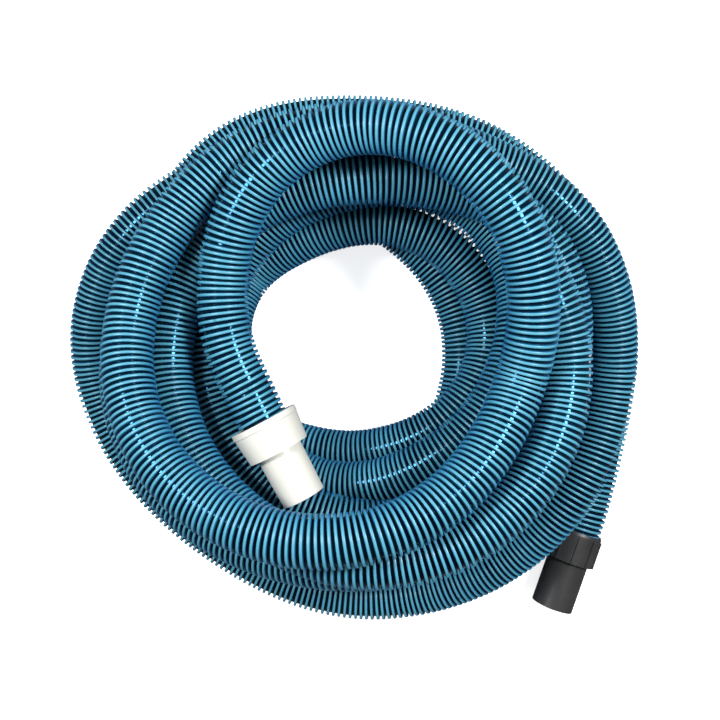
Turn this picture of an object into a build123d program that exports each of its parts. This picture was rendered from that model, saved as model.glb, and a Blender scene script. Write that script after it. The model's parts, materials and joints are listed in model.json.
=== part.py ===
from build123d import *
import math
import os

import numpy as np

# A pool vacuum hose lying in a loose coil on the floor, with a swivel cuff on its upper end and a
# plain grip cuff on its lower end.  Millimetres, +Z up, origin under the middle of the whole coil.

# ---------------------------------------------------------------- driving dimensions
HOSE_BORE = 38.0            # nominal 1.5 in hose
WALL_OD = 40.8              # outside of the thin wall, at the foot of the rib
RIB_OD = 47.0               # sleeve that the helical rib fills
CUFF_BORE = 38.2            # both cuffs slip on a 1.5 in (38.1 mm) pipe end
RUNNING_GAP = 0.05          # radial clearance of every turning fit

# Lay of the hose.  Each row is one turn, seen from above: distance of the hose's centreline from
# LAY_CENTRE every 30 degrees, anticlockwise, starting on +X.
LAY_STEP = 30.0
LAY_START, LAY_END = -39.3, 3101.7
LAY_CENTRE = (-4.0, 13.5)
LAY_TURNS = (
    (321, 305),
    (289, 279, 263, 251, 258, 240, 220, 197, 181, 172, 153, 132),
    (123, 123, 131, 151, 173, 185, 170, 147, 124, 116, 119, 132),
    (145, 145, 137, 127, 125, 134, 130, 127, 142, 145, 142, 150),
    (166, 185, 179, 159, 150, 144, 145, 149, 163, 176, 191, 201),
    (226, 247, 248, 218, 221, 254, 281, 270, 262, 277, 283, 279),
    (274, 255, 222, 208, 195, 213, 237, 238, 223, 212, 216, 218),
    (214, 210, 175, 156, 158, 168, 176, 183, 189, 197, 206, 208),
    (200, 187, 200, 203, 204, 202, 205, 201, 185, 170, 161, 155),
    (161, 174, 186, 188, 167, 135, 114, 106, 110),
)

PASS_SPACING = 48.2         # least distance between the centrelines of two passes that touch
LATER_PASS = 190.0          # degrees of winding after which a pass may lie on an earlier one
STEEPEST = 0.25             # rise over run where the hose climbs over another pass
SAMPLE = 3.0                # degrees between settled points
ARC_LENGTH = 70.0           # hose length covered by each pair of arcs in a sweep path
RIB_LENGTH, RIB_GAP = 140.0, 0.4    # the coil's rib is laid as short sleeves on the wall

# The hose's free ends, cut into short lengths that hinge in a chain.  Each list runs from the
# length inside the cuff towards the coil.
LEAD_LENGTHS = (60.0, 70.0, 70.0)      # swivel cuff's end, which can be lifted off the coil
TAIL_LENGTHS = (35.0, 35.0)            # grip cuff's end, which can be swung out along the floor
JOINT_GAP = 6.0
HOSE_DEPTH = 23.0                      # how far the hose reaches into each cuff

# Threaded sleeves glued on the hose's two ends, and what sits with them.  Places along a cuff
# are distances from its mouth.
SLEEVE_BORE_R = 23.6
SLEEVE_END, SLEEVE_FLOOR = 28.0, 3.0
GASKET_THICKNESS = 2.0

# Grip cuff, black.
GRIP_AXIS_HEIGHT, GRIP_GIRTH = 28.2, 58.0
GRIP_COLLAR_R, GRIP_COLLAR_END = 26.9, 34.3
GRIP_MOUTH_BEVEL, GRIP_MOUTH_R = 3.0, 25.8
GRIP_RIB_COUNT, GRIP_RIB_R, GRIP_RIB_WIDTH = 10, 28.2, 2.2
GRIP_RIB_START, GRIP_FIRST_RIB = 4.5, -30.0     # degrees from the top
GRIP_NECK_R, GRIP_NECK_WIDTH = 21.3, 1.2        # groove where the collar meets the spigot
GRIP_SPIGOT_R, GRIP_LENGTH = 22.3, 87.8
GRIP_SLEEVE_R, GRIP_SLEEVE_START = 25.2, 1.5
EDGE_ROUND = 0.8

# Swivel cuff, white.
SWIVEL_END_HEIGHT, SWIVEL_TILT, SWIVEL_RAMP = 170.0, 3.0, 160.0
CAP_R, CAP_BORE_R, CAP_THICKNESS = 33.0, 24.4, 6.0
TONGUE_INNER_R, TONGUE_OUTER_R, TONGUE_LENGTH = 30.3, 31.2, 2.0
GROOVE_INNER_R, GROOVE_OUTER_R = TONGUE_INNER_R - RUNNING_GAP, TONGUE_OUTER_R + RUNNING_GAP
COLLAR_RIM_R, COLLAR_FOOT_R, COLLAR_END = 32.4, 29.6, 32.0
SPIGOT_ROOT_R, SPIGOT_TIP_R, SWIVEL_LENGTH = 22.05, 20.9, 82.0
POCKET_R, POCKET_END = 29.25, 11.0
CHAMBER_R, CHAMBER_END = 27.2, 28.5
WASHER_START, WASHER_END = 6.1, 7.6
SWIVEL_SLEEVE_R, SWIVEL_SLEEVE_START, FLANGE_END = 26.0, 7.65, 10.5
O_RING_PLACE, O_RING_SECTION_R = 20.0, 1.0
O_RING_SEAT_R, O_RING_SEAT_WIDTH = 25.1, 2.4

os.makedirs("parts", exist_ok=True)


# ---------------------------------------------------------------- the lay of the hose
def natural_spline(knots, values, at):
    """Natural cubic spline through (knots, values), evaluated at the points `at`."""
    gap = np.diff(knots)
    slope = np.diff(values) / gap
    inner = np.diag((gap[:-1] + gap[1:]) / 3) + np.diag(gap[1:-1] / 6, 1) + np.diag(gap[1:-1] / 6, -1)
    bend = np.concatenate([[0], np.linalg.solve(inner, np.diff(slope)), [0]])
    i = np.clip(np.searchsorted(knots, at) - 1, 0, len(gap) - 1)
    a = (knots[i + 1] - at) / gap[i]
    b = 1 - a
    sag = ((a**3 - a) * bend[i] + (b**3 - b) * bend[i + 1]) * gap[i] ** 2 / 6
    return a * values[i] + b * values[i + 1] + sag


def moving_average(values):
    """Mean of each value and its two neighbours on either side."""
    padded = np.pad(values, 2, mode="edge")
    return np.convolve(padded, np.ones(5) / 5, mode="valid")


def settle(x, y, least, girth):
    """Height of each point when every pass lies on the floor or on the passes laid before it.

    least is the lowest that each point may lie, and girth is how thick the pile is there.
    """
    run = np.concatenate([[0], np.cumsum(np.hypot(np.diff(x), np.diff(y)))])
    apart = np.hypot(x[:, None] - x, y[:, None] - y)
    spacing = (girth[:, None] + girth) / 2
    upper, lower = np.nonzero(apart < spacing)
    laid_later = (upper - lower) * SAMPLE > LATER_PASS
    upper, lower = upper[laid_later], lower[laid_later]
    lift = np.sqrt(spacing[upper, lower] ** 2 - apart[upper, lower] ** 2)
    height = least.copy()
    for _ in range(14):
        need = least.copy()
        np.maximum.at(need, upper, height[lower] + lift)
        padded = np.pad(need, 1, mode="edge")
        need = np.maximum(need, np.maximum(padded[2:], padded[:-2]))
        before = np.maximum.accumulate(need + STEEPEST * run) - STEEPEST * run
        after = np.maximum.accumulate((need - STEEPEST * run)[::-1])[::-1] + STEEPEST * run
        height = moving_average(moving_average(np.maximum(before, after)))
    return height


def lay_centreline():
    """Settled centreline of the hose from the grip cuff's mouth to the swivel cuff's mouth."""
    radii = np.array([r for turn in LAY_TURNS for r in turn], dtype=float)
    round_angles = LAY_STEP * (np.arange(len(radii) - 2) + math.ceil(LAY_START / LAY_STEP))
    stations = np.concatenate([[LAY_START], round_angles, [LAY_END]])
    angle = np.append(np.arange(LAY_START, LAY_END, SAMPLE), LAY_END)
    radius = natural_spline(stations, radii, angle)
    x = LAY_CENTRE[0] + radius * np.cos(np.radians(angle))
    y = LAY_CENTRE[1] + radius * np.sin(np.radians(angle))
    least = np.full(len(x), RIB_OD / 2)
    least[:5] = GRIP_AXIS_HEIGHT
    girth = np.full(len(x), PASS_SPACING)
    girth[:4] = GRIP_GIRTH
    run_left = np.cumsum(np.hypot(np.diff(x, append=x[-1]), np.diff(y, append=y[-1]))[::-1])[::-1]
    ramp = run_left < SWIVEL_RAMP
    least[ramp] = SWIVEL_END_HEIGHT + run_left[ramp] * math.tan(math.radians(SWIVEL_TILT))
    return np.column_stack([x, y, settle(x, y, least, girth)])


CENTRELINE = lay_centreline()
STATION = np.concatenate([[0], np.cumsum(np.linalg.norm(np.diff(CENTRELINE, axis=0), axis=1))])
HOSE_RUN = STATION[-1]


def unit(vector):
    """The vector, or each row of a list of vectors, at length one."""
    return vector / np.linalg.norm(vector, axis=-1, keepdims=True)


def hose_points(places):
    """Points of the centreline at distances along the hose; past each mouth it runs on straight."""
    inside = np.clip(places, 0, HOSE_RUN)
    curve = np.column_stack([natural_spline(STATION, CENTRELINE[:, k], inside) for k in range(3)])
    start_way = unit(CENTRELINE[1] - CENTRELINE[0])
    end_way = unit(CENTRELINE[-1] - CENTRELINE[-2])
    past = (places - inside)[:, None]
    return curve + past * np.where(past < 0, start_way, end_way)


def hose_directions(places):
    return unit(hose_points(places + 0.5) - hose_points(places - 0.5))


def arc_joint(p0, way0, p1, way1):
    """Where two arcs meet that leave p0 along way0 and reach p1 along way1, and their direction."""
    chord, ways = p1 - p0, way0 + way1
    a, b, c = ways @ ways - 4, -2 * chord @ ways, chord @ chord
    reach = (-b - math.sqrt(b * b - 4 * a * c)) / (2 * a)
    corner0, corner1 = p0 + reach * way0, p1 - reach * way1
    return (corner0 + corner1) / 2, unit(corner1 - corner0)


def hose_length(start, end, inner_r, outer_r):
    """A pipe that follows the hose from start to end, swept along pairs of tangent arcs."""
    places = np.linspace(start, end, max(2, math.ceil((end - start) / ARC_LENGTH) + 1))
    points, ways = hose_points(places), hose_directions(places)
    with BuildLine() as path:
        for i in range(len(places) - 1):
            middle, way = arc_joint(points[i], ways[i], points[i + 1], ways[i + 1])
            TangentArc(tuple(points[i]), tuple(middle), tangent=tuple(ways[i]))
            TangentArc(tuple(middle), tuple(points[i + 1]), tangent=tuple(way))
    with BuildPart() as pipe:
        with BuildSketch(Plane(origin=tuple(points[0]), z_dir=tuple(ways[0]))):
            Circle(outer_r)
            Circle(inner_r, mode=Mode.SUBTRACT)
        sweep(path=path.wire())
    return pipe.part


def write(piece, node):
    piece.label = node
    export_step(piece, f"parts/{node}.step")


def hose_spans():
    """Name, start and end of every length that the hose is cut into, from the grip cuff on."""
    spans, start = [], -HOSE_DEPTH
    for number, length in zip(range(len(TAIL_LENGTHS), 0, -1), TAIL_LENGTHS):
        end = max(start, 0) + length
        spans.append((f"tail_{number}", start, end))
        start = end + JOINT_GAP
    lead, end = [], HOSE_RUN + HOSE_DEPTH
    for number, length in zip(range(len(LEAD_LENGTHS), 0, -1), LEAD_LENGTHS):
        lead_start = min(end, HOSE_RUN) - length
        lead.append((f"lead_{number}", lead_start, end))
        end = lead_start - JOINT_GAP
    return spans + [("coil", start, end)] + lead[::-1]


for body, start, end in hose_spans():
    write(hose_length(start, end, HOSE_BORE / 2, WALL_OD / 2), f"{body}_wall")
    if body == "coil":
        cuts = np.linspace(start, end, math.ceil((end - start) / RIB_LENGTH) + 1)
        sleeves = [
            hose_length(cut, next_cut - RIB_GAP, WALL_OD / 2, RIB_OD / 2)
            for cut, next_cut in zip(cuts, cuts[1:])
        ]
        write(Compound([sleeve.solid() for sleeve in sleeves]), "coil_rib")
    else:
        write(hose_length(start, end, WALL_OD / 2, RIB_OD / 2), f"{body}_rib")


# ---------------------------------------------------------------- the cuffs
def cuff_section(mouth, way):
    """Plane through a cuff's axis: local X is the radius, local Y runs from the mouth outwards."""
    level = unit(np.cross(way, (0.0, 0.0, 1.0)))
    return Plane(origin=tuple(mouth), x_dir=tuple(level), z_dir=tuple(np.cross(level, way)))


def ring(inner_r, outer_r, start, end, mode=Mode.ADD):
    """Cross-section of a plain ring, drawn in the active sketch."""
    with Locations(((inner_r + outer_r) / 2, (start + end) / 2)):
        Rectangle(outer_r - inner_r, end - start, mode=mode)


grip = cuff_section(CENTRELINE[0], unit(CENTRELINE[0] - CENTRELINE[1]))
grip_axis = Axis(grip.origin, grip.y_dir)
swivel = cuff_section(CENTRELINE[-1], unit(CENTRELINE[-1] - CENTRELINE[-2]))
swivel_axis = Axis(swivel.origin, swivel.y_dir)

# Grip cuff: bevelled collar with narrow ridges to hold it by, and a plain spigot.
with BuildPart() as grip_cuff:
    with BuildSketch(grip):
        with BuildLine():
            Polyline(
                (GRIP_SLEEVE_R + RUNNING_GAP, 0),
                (GRIP_MOUTH_R, 0),
                (GRIP_COLLAR_R, GRIP_MOUTH_BEVEL),
                (GRIP_COLLAR_R, GRIP_COLLAR_END),
                (GRIP_NECK_R, GRIP_COLLAR_END),
                (GRIP_NECK_R, GRIP_COLLAR_END + GRIP_NECK_WIDTH),
                (GRIP_SPIGOT_R, GRIP_COLLAR_END + GRIP_NECK_WIDTH),
                (GRIP_SPIGOT_R, GRIP_LENGTH),
                (CUFF_BORE / 2, GRIP_LENGTH),
                (CUFF_BORE / 2, SLEEVE_END + RUNNING_GAP),
                (GRIP_SLEEVE_R + RUNNING_GAP, SLEEVE_END + RUNNING_GAP),
                close=True,
            )
        make_face()
    revolve(axis=grip_axis)
    rib_foot_r = (GRIP_SLEEVE_R + GRIP_COLLAR_R) / 2
    rib_start = Plane(origin=grip.origin + grip.y_dir * GRIP_RIB_START, x_dir=(0, 0, 1), z_dir=grip.y_dir)
    with BuildSketch(rib_start):
        with PolarLocations((rib_foot_r + GRIP_RIB_R) / 2, GRIP_RIB_COUNT, start_angle=GRIP_FIRST_RIB):
            Rectangle(GRIP_RIB_R - rib_foot_r, GRIP_RIB_WIDTH)
    extrude(amount=GRIP_COLLAR_END - GRIP_RIB_START)
    tip_edges = grip_cuff.edges().filter_by(GeomType.CIRCLE).sort_by(grip_axis)[-2:]
    fillet(tip_edges, EDGE_ROUND)
write(grip_cuff.part, "grip_cuff")

with BuildPart() as grip_sleeve:
    with BuildSketch(grip):
        ring(SLEEVE_BORE_R, GRIP_SLEEVE_R, GRIP_SLEEVE_START, SLEEVE_END)
        ring(CUFF_BORE / 2, GRIP_SLEEVE_R, SLEEVE_END - SLEEVE_FLOOR, SLEEVE_END)
    revolve(axis=grip_axis)
write(grip_sleeve.part, "grip_threaded_sleeve")

with BuildPart() as grip_gasket:
    with BuildSketch(grip):
        ring(CUFF_BORE / 2, SLEEVE_BORE_R, HOSE_DEPTH, HOSE_DEPTH + GASKET_THICKNESS)
    revolve(axis=grip_axis)
write(grip_gasket.part, "grip_hose_gasket")

# Swivel cuff: tapered collar and spigot in one piece, hollow where it turns on the sleeve.
with BuildPart() as swivel_cuff:
    with BuildSketch(swivel):
        with BuildLine():
            Polyline(
                (POCKET_R, CAP_THICKNESS),
                (COLLAR_RIM_R, CAP_THICKNESS),
                (COLLAR_FOOT_R, COLLAR_END),
                (SPIGOT_ROOT_R, COLLAR_END),
                (SPIGOT_TIP_R, SWIVEL_LENGTH),
                (CUFF_BORE / 2, SWIVEL_LENGTH),
                (CUFF_BORE / 2, CHAMBER_END),
                (CHAMBER_R, CHAMBER_END),
                (CHAMBER_R, POCKET_END),
                (POCKET_R, POCKET_END),
                close=True,
            )
        make_face()
        groove_end = CAP_THICKNESS + TONGUE_LENGTH + RUNNING_GAP
        ring(GROOVE_INNER_R, GROOVE_OUTER_R, CAP_THICKNESS, groove_end, mode=Mode.SUBTRACT)
    revolve(axis=swivel_axis)
    tip_edges = swivel_cuff.edges().filter_by(GeomType.CIRCLE).sort_by(swivel_axis)[-2:]
    fillet(tip_edges, EDGE_ROUND)
write(swivel_cuff.part, "swivel_cuff")

# Ring that closes the swivel cuff's mouth and keeps the sleeve's flange in.
with BuildPart() as retaining_cap:
    with BuildSketch(swivel):
        ring(CAP_BORE_R, CAP_R, 0, CAP_THICKNESS)
        ring(TONGUE_INNER_R, TONGUE_OUTER_R, CAP_THICKNESS, CAP_THICKNESS + TONGUE_LENGTH)
    revolve(axis=swivel_axis)
    outer_edges = retaining_cap.edges().filter_by(GeomType.CIRCLE).sort_by(SortBy.RADIUS)[-2:]
    fillet(outer_edges, EDGE_ROUND)
write(retaining_cap.part, "swivel_retaining_cap")

with BuildPart() as thrust_washer:
    with BuildSketch(swivel):
        ring(CAP_BORE_R, POCKET_R - RUNNING_GAP, WASHER_START, WASHER_END)
    revolve(axis=swivel_axis)
write(thrust_washer.part, "swivel_thrust_washer")

# Sleeve glued on the hose; its flange is held between washer and cuff, and its nose carries the
# O-ring that keeps suction while the cuff turns.
with BuildPart() as swivel_sleeve:
    with BuildSketch(swivel):
        ring(SLEEVE_BORE_R, SWIVEL_SLEEVE_R, SWIVEL_SLEEVE_START, SLEEVE_END)
        ring(SLEEVE_BORE_R, POCKET_R - RUNNING_GAP, SWIVEL_SLEEVE_START, FLANGE_END)
        ring(CUFF_BORE / 2, SWIVEL_SLEEVE_R, SLEEVE_END - SLEEVE_FLOOR, SLEEVE_END)
        seat_start, seat_end = (O_RING_PLACE + side * O_RING_SEAT_WIDTH / 2 for side in (-1, 1))
        ring(O_RING_SEAT_R, SWIVEL_SLEEVE_R, seat_start, seat_end, mode=Mode.SUBTRACT)
    revolve(axis=swivel_axis)
write(swivel_sleeve.part, "swivel_threaded_sleeve")

with BuildPart() as swivel_o_ring:
    with BuildSketch(swivel):
        with Locations((CHAMBER_R - RUNNING_GAP - O_RING_SECTION_R, O_RING_PLACE)):
            Circle(O_RING_SECTION_R)
    revolve(axis=swivel_axis)
write(swivel_o_ring.part, "swivel_o_ring")

with BuildPart() as swivel_gasket:
    with BuildSketch(swivel):
        ring(CUFF_BORE / 2, SLEEVE_BORE_R, HOSE_DEPTH, HOSE_DEPTH + GASKET_THICKNESS)
    revolve(axis=swivel_axis)
write(swivel_gasket.part, "swivel_hose_gasket")
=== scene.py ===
import json
import math

import bpy
import numpy as np
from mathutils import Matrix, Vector

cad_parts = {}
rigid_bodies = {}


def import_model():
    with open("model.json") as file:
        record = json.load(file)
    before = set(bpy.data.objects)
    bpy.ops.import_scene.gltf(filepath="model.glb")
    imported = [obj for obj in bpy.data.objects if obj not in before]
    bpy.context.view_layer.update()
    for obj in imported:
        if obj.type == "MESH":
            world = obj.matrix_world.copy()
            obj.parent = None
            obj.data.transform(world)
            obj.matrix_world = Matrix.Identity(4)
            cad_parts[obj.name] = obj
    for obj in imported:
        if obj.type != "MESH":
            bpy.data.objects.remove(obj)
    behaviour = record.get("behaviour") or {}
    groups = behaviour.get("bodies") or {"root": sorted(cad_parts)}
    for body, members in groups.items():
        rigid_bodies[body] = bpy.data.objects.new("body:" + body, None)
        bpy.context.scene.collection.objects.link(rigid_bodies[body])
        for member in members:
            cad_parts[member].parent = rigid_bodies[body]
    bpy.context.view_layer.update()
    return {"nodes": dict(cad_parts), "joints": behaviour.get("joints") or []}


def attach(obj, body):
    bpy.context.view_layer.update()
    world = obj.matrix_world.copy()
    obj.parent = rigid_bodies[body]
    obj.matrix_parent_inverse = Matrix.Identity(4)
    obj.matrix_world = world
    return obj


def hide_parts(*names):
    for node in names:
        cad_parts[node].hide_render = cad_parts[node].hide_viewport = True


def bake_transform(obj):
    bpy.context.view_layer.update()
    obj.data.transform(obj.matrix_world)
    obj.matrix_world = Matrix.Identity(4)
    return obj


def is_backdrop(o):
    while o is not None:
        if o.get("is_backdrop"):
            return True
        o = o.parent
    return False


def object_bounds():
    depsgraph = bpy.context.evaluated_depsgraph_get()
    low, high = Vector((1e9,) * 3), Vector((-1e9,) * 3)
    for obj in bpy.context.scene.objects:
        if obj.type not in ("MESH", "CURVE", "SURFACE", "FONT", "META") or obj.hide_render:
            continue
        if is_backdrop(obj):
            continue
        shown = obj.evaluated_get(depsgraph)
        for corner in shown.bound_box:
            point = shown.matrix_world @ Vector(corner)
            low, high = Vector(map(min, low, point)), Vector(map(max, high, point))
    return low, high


# Looks of a coiled pool vacuum hose.  The CAD frame gives the place of every cuff and joint; the
# hose's wall and rib are rebuilt here as a thin film with a helical bead.  Metres throughout.

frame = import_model()
MM = 0.001
UP = np.array([0.0, 0.0, 1.0])
JOINTS = {joint["name"]: joint for joint in frame["joints"]}

# ---------------------------------------------------------------- sizes
HOSE_BORE_R, WALL_R = 19.0 * MM, 20.4 * MM
RIB_PITCH = 5.7 * MM
HOSE_DEPTH = 23.0 * MM
TURN_STEPS = 32
# Cross-section of the rib: place along the hose and height above the wall.
RIB_SECTION = (
    (-1.52, -0.40), (-1.46, 0.80), (-1.40, 2.20), (-1.28, 3.15), (-0.90, 3.50),
    (0.90, 3.50), (1.28, 3.15), (1.40, 2.20), (1.46, 0.80), (1.52, -0.40),
)
# The extruded bead is never quite even: it leans and stands a little more or less proud.  Each
# wave is (size, frequency in radians per turn, phase).
LEAN_WAVES = ((0.16, 0.37, 0.0), (0.12, 1.31, 0.8), (0.08, 6.9, 0.0))
PROUD_WAVES = ((0.02, 0.53, 1.1), (0.02, 2.7, 0.0))
PIECE_LENGTH = 1.15         # longest length of hose in one piece
HINGE_REACH = 0.018         # hose length on each side of a joint, where build_hose finds the near and far points
CUT_BEYOND_JOINT = 0.03     # where a piece of hose at a joint ends, past its joint
TAIL_CUT_BEYOND_JOINT = 0.02
STRIP_TURNS = 4             # windings of the rib in one strip of its UV map
STRIP_FILL = 0.96           # share of a strip's height that is used

# Lay of the hose, as the CAD model has it: millimetres from LAY_CENTRE every 30 degrees.
LAY_STEP = 30.0
LAY_START, LAY_END = -39.3, 3101.7
LAY_CENTRE = (-4.0, 13.5)
LAY_TURNS = (
    (321, 305),
    (289, 279, 263, 251, 258, 240, 220, 197, 181, 172, 153, 132),
    (123, 123, 131, 151, 173, 185, 170, 147, 124, 116, 119, 132),
    (145, 145, 137, 127, 125, 134, 130, 127, 142, 145, 142, 150),
    (166, 185, 179, 159, 150, 144, 145, 149, 163, 176, 191, 201),
    (226, 247, 248, 218, 221, 254, 281, 270, 262, 277, 283, 279),
    (274, 255, 222, 208, 195, 213, 237, 238, 223, 212, 216, 218),
    (214, 210, 175, 156, 158, 168, 176, 183, 189, 197, 206, 208),
    (200, 187, 200, 203, 204, 202, 205, 201, 185, 170, 161, 155),
    (161, 174, 186, 188, 167, 135, 114, 106, 110),
)
PASS_SPACING, LATER_PASS, STEEPEST, SAMPLE = 48.2, 190.0, 0.25, 3.0
FLOOR_HEIGHT, GRIP_AXIS_HEIGHT, GRIP_GIRTH = 23.5, 28.2, 58.0
SWIVEL_END_HEIGHT, SWIVEL_TILT, SWIVEL_RAMP = 170.0, 3.0, 160.0


# ---------------------------------------------------------------- the hose's centreline
def natural_spline(knots, values, at):
    """Natural cubic spline through (knots, values), evaluated at the points `at`."""
    gap = np.diff(knots)
    slope = np.diff(values) / gap
    beside = gap[1:-1] / 6
    inner = np.diag((gap[:-1] + gap[1:]) / 3) + np.diag(beside, 1) + np.diag(beside, -1)
    bend = np.concatenate([[0], np.linalg.solve(inner, np.diff(slope)), [0]])
    i = np.clip(np.searchsorted(knots, at) - 1, 0, len(gap) - 1)
    a = (knots[i + 1] - at) / gap[i]
    b = 1 - a
    sag = ((a**3 - a) * bend[i] + (b**3 - b) * bend[i + 1]) * gap[i] ** 2 / 6
    return a * values[i] + b * values[i + 1] + sag


def moving_average(values):
    """Mean of each value and its two neighbours on either side."""
    padded = np.pad(values, 2, mode="edge")
    return np.convolve(padded, np.ones(5) / 5, mode="valid")


def settle(x, y, least, girth):
    """Height of each point when every pass lies on the floor or on the passes laid before it."""
    run = np.concatenate([[0], np.cumsum(np.hypot(np.diff(x), np.diff(y)))])
    apart = np.hypot(x[:, None] - x, y[:, None] - y)
    spacing = (girth[:, None] + girth) / 2
    upper, lower = np.nonzero(apart < spacing)
    laid_later = (upper - lower) * SAMPLE > LATER_PASS
    upper, lower = upper[laid_later], lower[laid_later]
    lift = np.sqrt(spacing[upper, lower] ** 2 - apart[upper, lower] ** 2)
    height = least.copy()
    for _ in range(14):
        need = least.copy()
        np.maximum.at(need, upper, height[lower] + lift)
        padded = np.pad(need, 1, mode="edge")
        need = np.maximum(need, np.maximum(padded[2:], padded[:-2]))
        before = np.maximum.accumulate(need + STEEPEST * run) - STEEPEST * run
        after = np.maximum.accumulate((need - STEEPEST * run)[::-1])[::-1] + STEEPEST * run
        height = moving_average(moving_average(np.maximum(before, after)))
    return height


def lay_centreline():
    """Centreline in metres from the grip cuff's mouth to the swivel cuff's mouth."""
    radii = np.array([r for turn in LAY_TURNS for r in turn], dtype=float)
    round_angles = LAY_STEP * (np.arange(len(radii) - 2) + math.ceil(LAY_START / LAY_STEP))
    stations = np.concatenate([[LAY_START], round_angles, [LAY_END]])
    angle = np.append(np.arange(LAY_START, LAY_END, SAMPLE), LAY_END)
    radius = natural_spline(stations, radii, angle)
    x = LAY_CENTRE[0] + radius * np.cos(np.radians(angle))
    y = LAY_CENTRE[1] + radius * np.sin(np.radians(angle))
    least = np.full(len(x), FLOOR_HEIGHT)
    least[:5] = GRIP_AXIS_HEIGHT
    girth = np.full(len(x), PASS_SPACING)
    girth[:4] = GRIP_GIRTH
    run_left = np.cumsum(np.hypot(np.diff(x, append=x[-1]), np.diff(y, append=y[-1]))[::-1])[::-1]
    ramp = run_left < SWIVEL_RAMP
    least[ramp] = SWIVEL_END_HEIGHT + run_left[ramp] * math.tan(math.radians(SWIVEL_TILT))
    line = np.column_stack([x, y, settle(x, y, least, girth)]) * MM
    return line + (np.array(JOINTS["cuff_swivel"]["pos_m"]) - line[-1])


def unit(vector):
    """The vector, or each row of a list of vectors, at length one."""
    return vector / np.linalg.norm(vector, axis=-1, keepdims=True)


class Hose:
    """Finely sampled centreline with a frame that doesn't twist along it."""

    STEP = 1.0 * MM

    def __init__(self):
        line = lay_centreline()
        station = np.concatenate([[0], np.cumsum(np.linalg.norm(np.diff(line, axis=0), axis=1))])
        self.run = station[-1]
        self.start, self.end = -HOSE_DEPTH, self.run + HOSE_DEPTH
        self.s = np.arange(self.start, self.end + self.STEP, self.STEP)
        inside = np.clip(self.s, 0, self.run)
        curve = np.column_stack([natural_spline(station, line[:, k], inside) for k in range(3)])
        past = (self.s - inside)[:, None]
        ends = np.where(past < 0, unit(line[1] - line[0]), unit(line[-1] - line[-2]))
        self.centre = curve + past * ends
        self.way = unit(np.gradient(self.centre, axis=0))
        side = np.empty_like(self.way)
        side[0] = unit(np.cross(self.way[0], UP))
        for i in range(1, len(side)):
            side[i] = unit(side[i - 1] - (side[i - 1] @ self.way[i]) * self.way[i])
        self.side = side
        self.other = np.cross(self.way, side)

    def at(self, s, field):
        """Field (centre, way, side or other) at the places s along the hose."""
        rows = getattr(self, field)
        return np.column_stack([np.interp(s, self.s, rows[:, k]) for k in range(3)])

    def point(self, s):
        return self.at(np.array([s]), "centre")[0]

    def nearest(self, point):
        """Place along the hose that lies nearest to a point."""
        return self.s[np.linalg.norm(self.centre - np.array(point), axis=1).argmin()]


hose = Hose()


# ---------------------------------------------------------------- meshes
def grid_mesh(name, points, closed_rows=False, shade=None):
    """Mesh over a grid of points[row, column]; every row is a closed loop.

    closed_rows joins the last row to the first; otherwise a cap closes each end.  shade holds one
    number for each point, kept as the attribute "shade" for the materials.
    """
    rows, columns = points.shape[:2]
    spans = rows if closed_rows else rows - 1
    i, j = np.meshgrid(np.arange(spans), np.arange(columns), indexing="ij")
    i2, j2 = (i + 1) % rows, (j + 1) % columns
    quads = np.stack([i * columns + j, i * columns + j2, i2 * columns + j2, i2 * columns + j], -1)
    loops = quads.reshape(-1)
    starts = np.arange(0, len(loops), 4)
    totals = np.full(len(starts), 4)
    if not closed_rows:
        first, last = np.arange(columns)[::-1], (rows - 1) * columns + np.arange(columns)
        starts = np.append(starts, [len(loops), len(loops) + columns])
        totals = np.append(totals, [columns, columns])
        loops = np.concatenate([loops, first, last])
    mesh = bpy.data.meshes.new(name)
    mesh.vertices.add(rows * columns)
    mesh.vertices.foreach_set("co", points.reshape(-1).astype(np.float32))
    mesh.loops.add(len(loops))
    mesh.loops.foreach_set("vertex_index", loops.astype(np.int32))
    mesh.polygons.add(len(starts))
    mesh.polygons.foreach_set("loop_start", starts.astype(np.int32))
    mesh.polygons.foreach_set("use_smooth", totals == 4)
    if shade is not None:
        attribute = mesh.attributes.new("shade", "FLOAT", "POINT")
        attribute.data.foreach_set("value", shade.reshape(-1).astype(np.float32))
    mesh.update(calc_edges=True)
    mesh.validate()
    piece = bpy.data.objects.new(name, mesh)
    bpy.context.scene.collection.objects.link(piece)
    return piece


def lay_strips(piece, strip_rows, columns):
    """UV map that lays every strip_rows rows of a grid mesh as one strip across the square."""
    mesh = piece.data
    layer = mesh.uv_layers.new(name="OFBake")
    quads = (len(mesh.loops) - 2 * columns) // 4
    row, column = np.divmod(np.arange(quads), columns)
    strips = row.max() // strip_rows + 1
    strip, place = np.divmod(row, strip_rows)
    u = np.stack([place, place, place + 1, place + 1], -1) / strip_rows
    across = np.stack([column, column + 1, column + 1, column], -1) / columns
    v = (strip[:, None] + across * STRIP_FILL) / strips
    uv = np.full((len(mesh.loops), 2), 0.002)
    uv[: quads * 4] = np.stack([u, v], -1).reshape(-1, 2)
    layer.data.foreach_set("uv", uv.reshape(-1).astype(np.float32))


def wave_sum(turn, waves):
    """Sum of sine waves along the winding; each wave is (size, frequency, phase)."""
    return sum(size * np.sin(turn * frequency + phase) for size, frequency, phase in waves)


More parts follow.
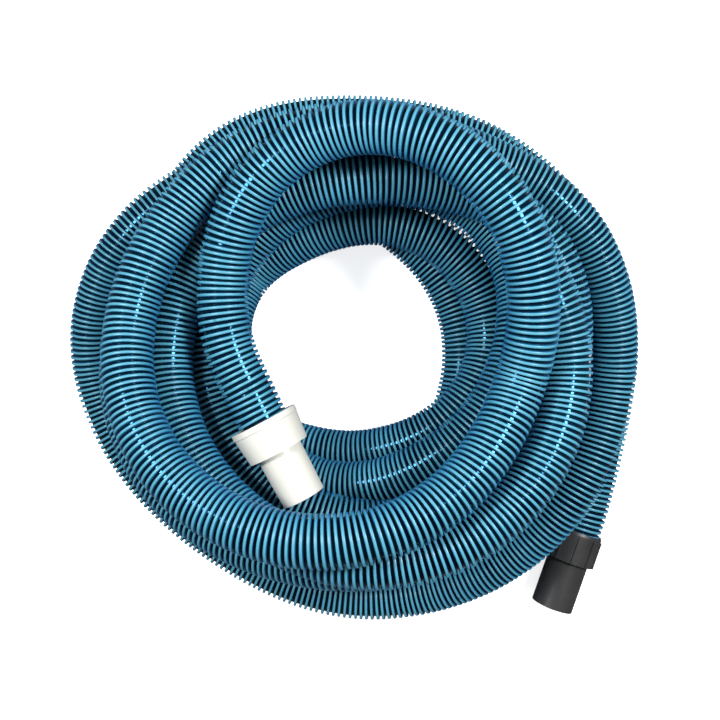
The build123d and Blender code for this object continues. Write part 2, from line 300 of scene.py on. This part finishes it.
def rib_piece(name, start, end):
    """Length of the helical rib between two places along the hose."""
    section = np.array(RIB_SECTION) * MM
    first, last = (round(place / RIB_PITCH * TURN_STEPS) for place in (start, end))
    turn = np.arange(first, last + 1) / TURN_STEPS
    s = turn * RIB_PITCH
    angle = 2 * np.pi * turn[:, None]
    outward = np.cos(angle) * hose.at(s, "side") + np.sin(angle) * hose.at(s, "other")
    way = hose.at(s, "way")
    lean, proud = wave_sum(turn, LEAN_WAVES), 1 + wave_sum(turn, PROUD_WAVES)
    height = section[:, 1] * proud[:, None]
    along = section[:, 0] + height * lean[:, None] * 0.5
    points = (
        hose.at(s, "centre")[:, None]
        + outward[:, None] * (WALL_R + height)[..., None]
        + way[:, None] * along[..., None]
    )
    top = section[:, 1].max()
    # shade runs from 0 at the rib's foot to 1 at its top; the rib material paints shade with it,
    # darker towards the foot.
    shade = np.broadcast_to(np.clip(section[:, 1] / top, 0, 1), points.shape[:2])
    piece = grid_mesh(name, points, shade=shade)
    lay_strips(piece, TURN_STEPS * STRIP_TURNS, len(section))
    return piece


def wall_piece(name, start, end):
    """Length of the thin wall, with its outside, its bore and its two cut ends."""
    count = max(2, round((end - start) / RIB_PITCH) + 1)
    s = np.linspace(start, end, count)
    angle = np.linspace(0, 2 * np.pi, TURN_STEPS, endpoint=False)[None, :, None]
    out = np.cos(angle) * hose.at(s, "side")[:, None] + np.sin(angle) * hose.at(s, "other")[:, None]
    centre = hose.at(s, "centre")[:, None]
    outside, bore = centre + WALL_R * out, centre + HOSE_BORE_R * out
    points = np.concatenate([outside, bore[::-1]])
    return grid_mesh(name, points, closed_rows=True)


# ---------------------------------------------------------------- materials
def new_material(name, colour, roughness, ior=1.48):
    """Principled material and its node tree, ready for its own texture nodes."""
    material = bpy.data.materials.new(name)
    material.use_nodes = True
    tree = material.node_tree
    shader = tree.nodes["Principled BSDF"]
    shader.inputs["Base Color"].default_value = (*colour, 1)
    shader.inputs["Roughness"].default_value = roughness
    shader.inputs["IOR"].default_value = ior
    return material, tree, shader


def add_noise(tree, scale, detail=3.0):
    """Noise in the row frame, so that it doesn't depend on UVs."""
    place = tree.nodes.new("ShaderNodeTexCoord")
    noise = tree.nodes.new("ShaderNodeTexNoise")
    noise.inputs["Scale"].default_value = scale
    noise.inputs["Detail"].default_value = detail
    tree.links.new(place.outputs["Object"], noise.inputs["Vector"])
    return noise.outputs["Fac"]


def add_ramp(tree, value, stops):
    """Colour ramp over a value; stops are (place, colour)."""
    ramp = tree.nodes.new("ShaderNodeValToRGB")
    tree.links.new(value, ramp.inputs["Fac"])
    elements = ramp.color_ramp.elements
    while len(elements) < len(stops):
        elements.new(0.5)
    for element, (place, colour) in zip(elements, stops):
        element.position = place
        element.color = (*colour, 1)
    return ramp.outputs["Color"]


def add_bump(tree, shader, height, strength, distance):
    bump = tree.nodes.new("ShaderNodeBump")
    bump.inputs["Strength"].default_value = strength
    bump.inputs["Distance"].default_value = distance
    tree.links.new(height, bump.inputs["Height"])
    tree.links.new(bump.outputs["Normal"], shader.inputs["Normal"])


def add_range(tree, value, low, high):
    """A 0 to 1 value stretched to low..high."""
    node = tree.nodes.new("ShaderNodeMapRange")
    node.inputs["To Min"].default_value = low
    node.inputs["To Max"].default_value = high
    tree.links.new(value, node.inputs["Value"])
    return node.outputs["Result"]


def add_mix(tree, factor, first, second):
    """Colour between two others; factor, first and second are sockets or plain values."""
    mix = tree.nodes.new("ShaderNodeMix")
    mix.data_type = "RGBA"
    for name, value in (("Factor", factor), ("A", first), ("B", second)):
        if isinstance(value, bpy.types.NodeSocket):
            tree.links.new(value, mix.inputs[name])
        else:
            mix.inputs[name].default_value = value
    return mix.outputs["Result"]


def add_facing_up(tree, low, high):
    """0 where the surface's upward tilt is below low, 1 where it is above high."""
    geometry = tree.nodes.new("ShaderNodeNewGeometry")
    split = tree.nodes.new("ShaderNodeSeparateXYZ")
    tree.links.new(geometry.outputs["Normal"], split.inputs["Vector"])
    node = tree.nodes.new("ShaderNodeMapRange")
    node.inputs["From Min"].default_value = low
    node.inputs["From Max"].default_value = high
    tree.links.new(split.outputs["Z"], node.inputs["Value"])
    return node.outputs["Result"]


def rib_material():
    """Blue bead with painted light and shade: painted shade makes it deep blue at its foot and
    where it faces sideways, on the hose's sides; painted light makes its upward-facing upper edge
    lighter teal.
    """
    material, tree, shader = new_material("rib_blue", (0.05, 0.27, 0.40), 0.36, ior=1.45)
    attribute = tree.nodes.new("ShaderNodeAttribute")
    attribute.attribute_name = "shade"
    height = attribute.outputs["Fac"]
    # Painted shade: both ramps darken the bead towards its foot, where it sinks between the
    # windings. The side ramp holds the deep blue painted shade for sideways-facing surfaces; the
    # upper ramp holds the lighter colours, painted light, for upward-facing ones.
    side = add_ramp(tree, height, (
        (0.0, (0.0005, 0.010, 0.050)), (0.5, (0.0012, 0.035, 0.15)), (1.0, (0.007, 0.14, 0.35)),
    ))
    upper = add_ramp(tree, height, (
        (0.0, (0.0005, 0.010, 0.040)), (0.5, (0.0015, 0.040, 0.12)), (0.88, (0.012, 0.14, 0.23)),
        (1.0, (0.072, 0.265, 0.36)),
    ))
    # Painted light and shade: upward-facing surfaces take the lighter upper colours,
    # sideways-facing ones the deep blue painted shade.
    colour = add_mix(tree, add_facing_up(tree, 0.05, 0.75), side, upper)
    scuffing = add_range(tree, add_noise(tree, 55.0), 0.0, 0.35)
    scuffed = add_mix(tree, scuffing, colour, (0.040, 0.25, 0.36, 1))
    tree.links.new(scuffed, shader.inputs["Base Color"])
    tree.links.new(add_range(tree, add_noise(tree, 420.0), 0.26, 0.5), shader.inputs["Roughness"])
    return material


def wall_material():
    """Thin glossy film, almost black with a green-blue cast where it is stretched."""
    material, tree, shader = new_material("wall_film", (0.004, 0.018, 0.035), 0.16, ior=1.42)
    shader.inputs["Specular Tint"].default_value = (0.12, 0.55, 1.0, 1)
    colour = add_ramp(tree, add_noise(tree, 18.0), (
        (0.3, (0.0005, 0.005, 0.016)), (0.7, (0.0015, 0.014, 0.026)),
    ))
    tree.links.new(colour, shader.inputs["Base Color"])
    tree.links.new(add_range(tree, add_noise(tree, 300.0), 0.07, 0.18), shader.inputs["Roughness"])
    add_bump(tree, shader, add_noise(tree, 160.0), 0.25, 0.0006)
    return material


def moulded_material(name, colour, darker, roughness, grain, strength):
    """Moulded plastic: faint colour drift, fine grain and uneven gloss."""
    material, tree, shader = new_material(name, colour, roughness)
    drift = add_ramp(tree, add_noise(tree, 25.0), ((0.35, darker), (0.7, colour)))
    tree.links.new(drift, shader.inputs["Base Color"])
    gloss = add_range(tree, add_noise(tree, 140.0), roughness * 0.8, roughness * 1.25)
    tree.links.new(gloss, shader.inputs["Roughness"])
    add_bump(tree, shader, add_noise(tree, grain), strength, 0.0003)
    return material


RIB_BLUE = rib_material()
WALL_FILM = wall_material()
# name, colour, darker colour, roughness, grain's scale, grain's strength
WHITE, BLACK, SLEEVE, WASHER, RUBBER = (moulded_material(*settings) for settings in (
    ("white_plastic", (0.60, 0.59, 0.53), (0.58, 0.575, 0.52), 0.34, 900.0, 0.05),
    ("black_plastic", (0.035, 0.035, 0.036), (0.022, 0.022, 0.023), 0.42, 1400.0, 0.18),
    ("sleeve_plastic", (0.10, 0.11, 0.115), (0.07, 0.075, 0.08), 0.5, 1200.0, 0.15),
    ("washer_plastic", (0.72, 0.72, 0.66), (0.66, 0.66, 0.61), 0.4, 1100.0, 0.1),
    ("seal_rubber", (0.02, 0.02, 0.02), (0.012, 0.012, 0.012), 0.6, 1600.0, 0.2),
))


def dress(piece, material):
    """Gives a piece its material."""
    piece.data.materials.clear()
    piece.data.materials.append(material)
    return piece


# ---------------------------------------------------------------- the hose
def chain(prefix):
    """The joints of one hinged end, from the coil outwards."""
    return [JOINTS[name] for name in sorted(JOINTS) if name.startswith(prefix)]


def halfway(places):
    """Midpoints between neighbouring places."""
    return [(a + b) / 2 for a, b in zip(places, places[1:])]


def hose_pieces():
    """(name, start, end, body, next body or None, joint's place) for each length of hose."""
    lead, tail = chain("lead_lift"), chain("tail_swing")
    lead_at = [hose.nearest(joint["pos_m"]) for joint in lead]
    tail_at = [hose.nearest(joint["pos_m"]) for joint in tail]
    lead_cuts = [
        lead_at[0] - CUT_BEYOND_JOINT, *halfway(lead_at), lead_at[-1] + CUT_BEYOND_JOINT,
    ]
    tail_cuts = [
        tail_at[0] + CUT_BEYOND_JOINT, *halfway(tail_at), tail_at[-1] - TAIL_CUT_BEYOND_JOINT,
    ]
    pieces = []
    for k, joint in enumerate(tail):
        pieces.append((f"tail_bend_{k + 1}", tail_cuts[k + 1], tail_cuts[k],
                       joint["parent"], joint["child"], tail_at[k]))
    pieces.append(("tail_end", hose.start, tail_cuts[-1], tail[-1]["child"], None, None))
    for k, joint in enumerate(lead):
        pieces.append((f"lead_bend_{k + 1}", lead_cuts[k], lead_cuts[k + 1],
                       joint["parent"], joint["child"], lead_at[k]))
    pieces.append(("lead_end", lead_cuts[-1], hose.end, lead[-1]["child"], None, None))
    count = math.ceil((lead_cuts[0] - tail_cuts[0]) / PIECE_LENGTH)
    cuts = np.linspace(tail_cuts[0], lead_cuts[0], count + 1)
    for k in range(count):
        pieces.append((f"coil_length_{k + 1}", cuts[k], cuts[k + 1], "coil", None, None))
    return pieces


def build_hose():
    walls, ribs = [], []
    for name, start, end, body, next_body, joint_at in hose_pieces():
        wall = dress(wall_piece(f"{name}_wall", start, end), WALL_FILM)
        rib = dress(rib_piece(f"{name}_rib", start, end), RIB_BLUE)
        walls.append(wall)
        ribs.append(rib)
        if next_body is None:
            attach(wall, body)
            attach(rib, body)
            continue
        outwards = 1 if next_body.startswith("lead") else -1
        near = hose.point(joint_at - outwards * HINGE_REACH)
        far = hose.point(joint_at + outwards * HINGE_REACH)
        for piece in (wall, rib):
            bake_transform(piece)
    wall_nodes = [node for node in frame["nodes"] if node.endswith("_wall")]
    rib_nodes = [node for node in frame["nodes"] if node.endswith("_rib")]
    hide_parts(*wall_nodes)
    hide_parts(*rib_nodes)


build_hose()

# ---------------------------------------------------------------- cuffs
CUFF_MATERIALS = {
    "grip_cuff": BLACK, "grip_threaded_sleeve": SLEEVE, "grip_hose_gasket": RUBBER,
    "swivel_cuff": WHITE, "swivel_retaining_cap": WHITE, "swivel_threaded_sleeve": SLEEVE,
    "swivel_thrust_washer": WASHER, "swivel_o_ring": RUBBER, "swivel_hose_gasket": RUBBER,
}
for node, material in CUFF_MATERIALS.items():
    piece = frame["nodes"][node]
    piece.data.materials.clear()
    piece.data.materials.append(material)


# ---------------------------------------------------------------- floor, light and camera
FLOOR_HALF_WIDTH, FLOOR_DROP = 6.0, 0.0006      # the floor lies just below the lowest rib
FLOOR_GLOW, FLOOR_SEEN_IN_GLOSS = 0.75, 0.05
WORLD_LIGHT, WORLD_SEEN, WORLD_IN_GLOSS = 0.46, 0.88, 0.05


def stage_floor():
    mesh = bpy.data.meshes.new("floor")
    far = FLOOR_HALF_WIDTH
    corners = [(-far, -far, 0), (far, -far, 0), (far, far, 0), (-far, far, 0)]
    mesh.from_pydata(corners, [], [(0, 1, 2, 3)])
    floor = bpy.data.objects.new("floor", mesh)
    bpy.context.scene.collection.objects.link(floor)
    floor.location.z = -FLOOR_DROP
    material, tree, shader = new_material("floor_paper", (0.94, 0.94, 0.94), 0.8)
    tree.links.new(add_range(tree, add_noise(tree, 8.0), 0.75, 0.85), shader.inputs["Roughness"])
    # The hose is lit by the studio and not by the floor, which is as bright as paper to the camera.
    path = tree.nodes.new("ShaderNodeLightPath")
    glow = add_range(tree, path.outputs["Is Camera Ray"], 0.0, FLOOR_GLOW)
    shader.inputs["Emission Color"].default_value = (1, 1, 1, 1)
    tree.links.new(glow, shader.inputs["Emission Strength"])
    dark = (FLOOR_SEEN_IN_GLOSS, FLOOR_SEEN_IN_GLOSS, FLOOR_SEEN_IN_GLOSS, 1)
    colour = add_mix(tree, path.outputs["Is Glossy Ray"], (0.94, 0.94, 0.94, 1), dark)
    tree.links.new(colour, shader.inputs["Base Color"])
    mesh.materials.append(material)
    floor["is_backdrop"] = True


def area_light(name, place, target, size, power, colour=(1, 1, 1)):
    lamp = bpy.data.lights.new(name, "AREA")
    lamp.shape = "DISK"
    lamp.size = size
    lamp.energy = power
    lamp.color = colour
    light = bpy.data.objects.new(name, lamp)
    bpy.context.scene.collection.objects.link(light)
    light.location = place
    aim = np.array(target) - np.array(place)
    light.rotation_euler = Vector(aim).to_track_quat("-Z", "Y").to_euler()


def stage_light():
    world = bpy.data.worlds.new("studio")
    world.use_nodes = True
    background = world.node_tree.nodes["Background"]
    background.inputs["Color"].default_value = (1, 1, 1, 1)
    # The backdrop looks pale, but the glossy hose mirrors a dim room.
    tree = world.node_tree
    path = tree.nodes.new("ShaderNodeLightPath")
    strength = tree.nodes.new("ShaderNodeMath")
    strength.operation = "ADD"
    seen = add_range(tree, path.outputs["Is Camera Ray"], WORLD_LIGHT, WORLD_SEEN)
    tree.links.new(seen, strength.inputs[0])
    mirrored = add_range(tree, path.outputs["Is Glossy Ray"], 0.0, WORLD_IN_GLOSS - WORLD_LIGHT)
    tree.links.new(mirrored, strength.inputs[1])
    tree.links.new(strength.outputs["Value"], background.inputs["Strength"])
    bpy.context.scene.world = world
    area_light("key", (0.80, 0.30, 1.4), (0, 0, 0.1), 0.30, 28)
    area_light("fill", (-0.85, 0.25, 1.35), (0, 0, 0.1), 0.36, 22)


CAMERA_HEIGHT = 1.0
CAMERA_OFFSET = (0.0048, -0.0030)       # from the middle of the object, seen from above
FOCAL_PIXELS, PICTURE_WIDTH = 885.0, 720
SENSOR_WIDTH = 36.0


def stage_camera():
    low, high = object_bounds()
    data = bpy.data.cameras.new("camera")
    data.sensor_width = SENSOR_WIDTH
    data.lens = SENSOR_WIDTH * FOCAL_PIXELS / PICTURE_WIDTH
    camera = bpy.data.objects.new("camera", data)
    bpy.context.scene.collection.objects.link(camera)
    middle = (low + high) / 2
    camera.location = (middle.x + CAMERA_OFFSET[0], middle.y + CAMERA_OFFSET[1], CAMERA_HEIGHT)
    bpy.context.scene.camera = camera


stage_floor()
stage_light()
stage_camera()
bpy.context.scene.view_settings.view_transform = "Standard"
